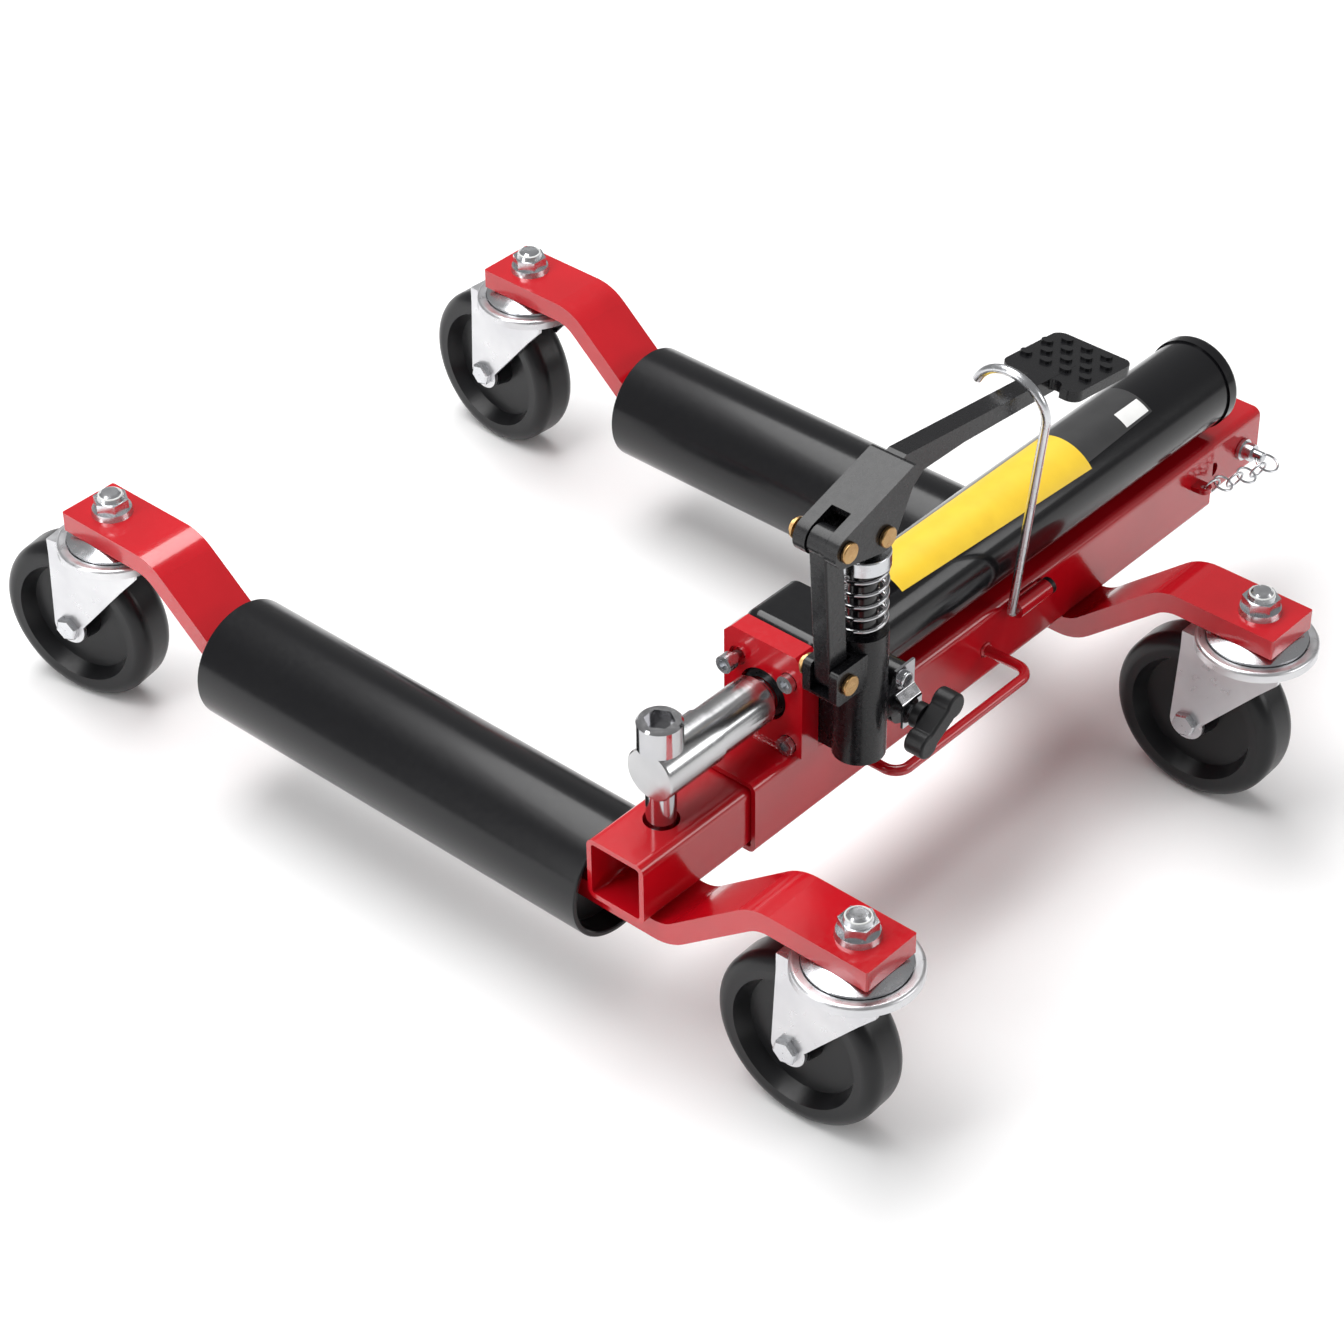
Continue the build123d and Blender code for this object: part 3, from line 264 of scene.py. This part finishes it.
def label_patch(name, start, end, low_start, low_end, high_deg, lift, finish):
    """Thin curved label on the barrel. Angles go from the pump side, over the top."""
    mesh = bpy.data.meshes.new(name)
    columns, rows = 6, 24
    points, faces = [], []
    for layer in (0, 1):
        radius = barrel_radius + lift * MM + layer * 0.06 * MM
        for row in range(rows + 1):
            for column in range(columns + 1):
                along = column / columns
                low_deg = low_start + (low_end - low_start) * along
                angle = math.radians(low_deg + (high_deg - low_deg) * row / rows)
                y = barrel_y - radius * math.cos(angle)
                z = barrel_z + radius * math.sin(angle)
                points.append((start + (end - start) * along, y, z))
    layer_size = (rows + 1) * (columns + 1)
    for row in range(rows):
        for column in range(columns):
            a = row * (columns + 1) + column
            b = a + columns + 1
            faces.append((a, b, b + 1, a + 1))
            top = layer_size
            faces.append((top + a, top + a + 1, top + b + 1, top + b))
    for row in range(rows):
        for a in (row * (columns + 1), row * (columns + 1) + columns):
            b = a + columns + 1
            faces.append((a, b, b + layer_size, a + layer_size))
    for column in range(columns):
        for a in (column, rows * (columns + 1) + column):
            faces.append((a, a + 1, a + 1 + layer_size, a + layer_size))
    mesh.from_pydata(points, [], faces)
    built = bmesh.new()
    built.from_mesh(mesh)
    bmesh.ops.recalc_face_normals(built, faces=built.faces)
    built.to_mesh(mesh)
    built.free()
    return add_piece(name, mesh, finish, "frame")


label_yellow = finish_of(
    "label_yellow", (0.83, 0.56, 0.035), (0.76, 0.50, 0.03),
    rough=(0.35, 0.45), coat=0.2, patches=60, grain=900, relief=0.03,
)
label_dark = finish_of(
    "label_dark", (0.035, 0.035, 0.036), (0.028, 0.028, 0.029),
    rough=(0.3, 0.4), coat=0.2, patches=60, grain=900, relief=0.03,
)
label_white = finish_of(
    "label_white", (0.78, 0.78, 0.77), (0.70, 0.70, 0.69),
    rough=(0.35, 0.45), patches=60, grain=900, relief=0.03,
)
label_start = head_high.x + 41.5 * MM
label_split = head_high.x + 201 * MM
label_end = head_high.x + 262.5 * MM
label_patch("label_plain_yellow", label_start, label_split, 51.5, 38, 118, 0.03, label_yellow)
label_patch("label_plain_dark", label_split, label_end, 46, 51, 118, 0.03, label_dark)
label_patch("label_plain_white", label_end - 23 * MM, label_end - 2 * MM, 53, 54, 75, 0.12, label_white)


# ---- Weld beads, axle heads and nylon collars ----
def bead_along(name, path, radius, body, finish=None, closed=False):
    """Rippled weld bead that follows a line of points."""
    mesh = bpy.data.meshes.new(name)
    points, faces = [], []
    sides = 10
    line = []
    pairs = list(zip(path, path[1:] + (path[:1] if closed else [])))
    pairs = pairs if closed else pairs[: len(path) - 1]
    for start, end in pairs:
        steps = max(2, int((end - start).length / (0.9 * MM)))
        for step in range(steps):
            line.append(start.lerp(end, step / steps))
    if not closed:
        line.append(path[-1])
    count = len(line)
    for index, spot in enumerate(line):
        ahead = line[(index + 1) % count] if closed or index < count - 1 else spot
        behind = line[index - 1] if closed or index > 0 else spot
        heading = (ahead - behind).normalized()
        across = heading.orthogonal().normalized()
        up = heading.cross(across)
        ripple = radius * (0.86 + 0.14 * math.cos(index * 1.9))
        if not closed and index in (0, count - 1):
            ripple = radius * 0.35
        for side in range(sides):
            turn = 2 * math.pi * side / sides
            points.append(spot + ripple * (math.cos(turn) * across + math.sin(turn) * up))
    rings = count if closed else count - 1
    for index in range(rings):
        for side in range(sides):
            a = index * sides + side
            b = index * sides + (side + 1) % sides
            shift = ((index + 1) % count) * sides
            faces.append((a, b, shift + (side + 1) % sides, shift + side))
    if not closed:
        faces.append(tuple(range(sides)))
        faces.append(tuple((count - 1) * sides + side for side in range(sides)))
    mesh.from_pydata([tuple(point) for point in points], [], faces)
    built = bmesh.new()
    built.from_mesh(mesh)
    bmesh.ops.recalc_face_normals(built, faces=built.faces)
    built.to_mesh(mesh)
    built.free()
    smooth(mesh)
    return add_piece(name, mesh, finish or red, body)


def lathe(name, profile, centre, axis, sides, finish, body, soft=True):
    """Solid of revolution or prism from (radius, distance) pairs along an axis."""
    mesh = bpy.data.meshes.new(name)
    axis = Vector(axis).normalized()
    across = axis.orthogonal().normalized()
    up = axis.cross(across)
    points, faces = [], []
    for radius, along in profile:
        for side in range(sides):
            turn = 2 * math.pi * side / sides
            outward = math.cos(turn) * across + math.sin(turn) * up
            points.append(tuple(centre + along * axis + radius * outward))
    count = len(profile)
    for ring in range(count):
        for side in range(sides):
            a = ring * sides
            b = ((ring + 1) % count) * sides
            faces.append((a + side, a + (side + 1) % sides, b + (side + 1) % sides, b + side))
    mesh.from_pydata(points, [], faces)
    built = bmesh.new()
    built.from_mesh(mesh)
    bmesh.ops.recalc_face_normals(built, faces=built.faces)
    built.to_mesh(mesh)
    built.free()
    if soft:
        smooth(mesh)
    return add_piece(name, mesh, finish, body)


inner_low, inner_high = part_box("inner_tube")
plate_low, plate_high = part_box("ram_mount_plate")
beam_y = (inner_low.y + inner_high.y) / 2
weld_radius = 2.0 * MM
outer_half = 22.5 * MM
tube_top = plate_low.z
bead_along(
    "weld_plate_front",
    [
        Vector((plate_low.x, beam_y - outer_half + 3 * MM, tube_top)),
        Vector((plate_low.x, beam_y + outer_half - 3 * MM, tube_top)),
    ],
    weld_radius,
    "frame",
)
for bar_name, body, half, underside in (
    ("front_bar", "carriage", (inner_high.y - inner_low.y) / 2, inner_low.z),
    ("rear_bar", "frame", outer_half, tube_top - 2 * outer_half),
):
    bar_low, bar_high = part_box(bar_name)
    for side_name, x in (("front", bar_low.x), ("back", bar_high.x)):
        bead_along(
            f"weld_{bar_name}_{side_name}",
            [
                Vector((x, beam_y - half + 4 * MM, underside)),
                Vector((x, beam_y + half - 4 * MM, underside)),
            ],
            weld_radius,
            body,
        )
rail_low, rail_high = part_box("guard_rail")
rail_wire = 3.0 * MM
rail_weld_circle = 3.4 * MM
rail_weld_points = 16
rail_z = (rail_low.z + rail_high.z) / 2
for end_name, x in (("front", rail_low.x + rail_wire), ("rear", rail_high.x - rail_wire)):
    ring = []
    for step in range(rail_weld_points):
        turn = 2 * math.pi * step / rail_weld_points
        ring.append(
            Vector(
                (
                    x + rail_weld_circle * math.cos(turn),
                    beam_y - outer_half - 0.3 * MM,
                    rail_z + rail_weld_circle * math.sin(turn),
                )
            )
        )
    bead_along(f"weld_rail_{end_name}", ring, 1.4 * MM, "frame", closed=True)
hook_tube_low, hook_tube_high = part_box("hook_tube")
for edge_name, z in (("upper", hook_tube_high.z - 1.6 * MM), ("lower", hook_tube_low.z + 1.6 * MM)):
    bead_along(
        f"weld_hook_tube_{edge_name}",
        [
            Vector((hook_tube_low.x + 3 * MM, beam_y - outer_half - 1.2 * MM, z)),
            Vector((hook_tube_high.x - 3 * MM, beam_y - outer_half - 1.2 * MM, z)),
        ],
        1.5 * MM,
        "frame",
    )

TRAIL = {"front_left": 100.9, "front_right": 91.5, "rear_left": 86.6, "rear_right": 91.1}
leg_face = 17.7 * MM
hex_radius = 7.4 * MM
hex_height = 4.0 * MM
hex_chamfer_radius = 6.3 * MM
hex_chamfer_start = 3.2 * MM
for caster, trail_deg in TRAIL.items():
    axle_low, axle_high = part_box(f"axle_{caster}")
    middle = Vector((axle_low + axle_high) / 2)
    trail = math.radians(trail_deg)
    axis = Vector((-math.sin(trail), math.cos(trail), 0))
    for side_name, direction in (("left", 1), ("right", -1)):
        profile = [
            (0.3 * MM, leg_face + 0.2 * MM),
            (hex_radius, leg_face + 0.2 * MM),
            (hex_radius, leg_face + hex_chamfer_start),
            (hex_chamfer_radius, leg_face + hex_height),
            (0.3 * MM, leg_face + hex_height),
        ]
        lathe(
            f"axle_hex_{caster}_{side_name}",
            profile,
            middle,
            axis * direction,
            6,
            zinc,
            f"swivel_{caster}",
            soft=False,
        )

for bar_name, body in (("front", "carriage"), ("rear", "frame")):
    nuts_low, nuts_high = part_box(f"{bar_name}_kingpin_nuts")
    nut_x = (nuts_low.x + nuts_high.x) / 2
    flange = (nuts_high.x - nuts_low.x) / 2
    for side_name, y in (("right", nuts_low.y + flange), ("left", nuts_high.y - flange)):
        profile = [
            (6.1 * MM, -1.0 * MM),
            (7.0 * MM, -1.0 * MM),
            (7.0 * MM, 0.25 * MM),
            (6.7 * MM, 0.5 * MM),
            (6.1 * MM, 0.5 * MM),
        ]
        lathe(
            f"nylon_ring_{bar_name}_{side_name}",
            profile,
            Vector((nut_x, y, nuts_high.z)),
            (0, 0, 1),
            32,
            nylon,
            body,
        )


# ---- Floor, light and camera ----
floor_size = 12.0
floor_mesh = bpy.data.meshes.new("floor")
half = floor_size / 2
floor_corners = [(-half, -half, 0), (half, -half, 0), (half, half, 0), (-half, half, 0)]
floor_mesh.from_pydata(floor_corners, [], [(0, 1, 2, 3)])
floor = bpy.data.objects.new("floor", floor_mesh)
bpy.context.scene.collection.objects.link(floor)
floor.location.z = -0.0002
floor_finish = finish_of(
    "floor_white", (0.93, 0.93, 0.93), (0.92, 0.92, 0.92),
    rough=(0.7, 0.8), patches=2, grain=60, relief=0.0,
)
floor_mesh.materials.append(floor_finish)

scene = bpy.context.scene
scene.view_settings.view_transform = "Standard"
world = bpy.data.worlds.new("studio")
scene.world = world
world.use_nodes = True
world.node_tree.nodes["Background"].inputs["Color"].default_value = (1, 1, 1, 1)
world.node_tree.nodes["Background"].inputs["Strength"].default_value = 0.32


def softbox(name, place, target, width, height, power):
    """Large rectangular light, facing the target."""
    data = bpy.data.lights.new(name, "AREA")
    data.shape = "RECTANGLE"
    data.size = width
    data.size_y = height
    data.energy = power
    lamp = bpy.data.objects.new(name, data)
    lamp.location = place
    lamp.rotation_mode = "QUATERNION"
    lamp.rotation_quaternion = (Vector(target) - Vector(place)).to_track_quat("-Z", "Y")
    scene.collection.objects.link(lamp)


softbox("overhead", (-0.1, 0.55, 2.1), (0, 0, 0.1), 2.6, 1.3, 62)
softbox("left_strip", (-2.0, 0.6, 1.1), (0, 0, 0.1), 0.6, 2.4, 20)
softbox("front_fill", (1.0, -2.2, 1.0), (0, 0, 0.1), 1.6, 0.8, 14)


def photo_camera():
    """Long lens from the pump side, at the product shot's angle."""
    azimuth, elevation, roll = math.radians(-47.9), math.radians(37.88), math.radians(-0.86)
    back = Vector(
        (
            math.sin(azimuth) * math.cos(elevation),
            -math.cos(azimuth) * math.cos(elevation),
            math.sin(elevation),
        )
    )
    right = (-back).cross(Vector((0, 0, 1))).normalized()
    up = right.cross(-back)
    turned_right = right * math.cos(roll) + up * math.sin(roll)
    turned_up = up * math.cos(roll) - right * math.sin(roll)
    rotation = Matrix((turned_right, turned_up, back)).transposed()
    data = bpy.data.cameras.new("camera")
    data.lens = 94.57
    data.sensor_width = 36
    camera = bpy.data.objects.new("camera", data)
    camera.matrix_world = Matrix.Translation((-1.22573, -1.066, 1.26518)) @ rotation.to_4x4()
    scene.collection.objects.link(camera)
    scene.camera = camera


photo_camera()
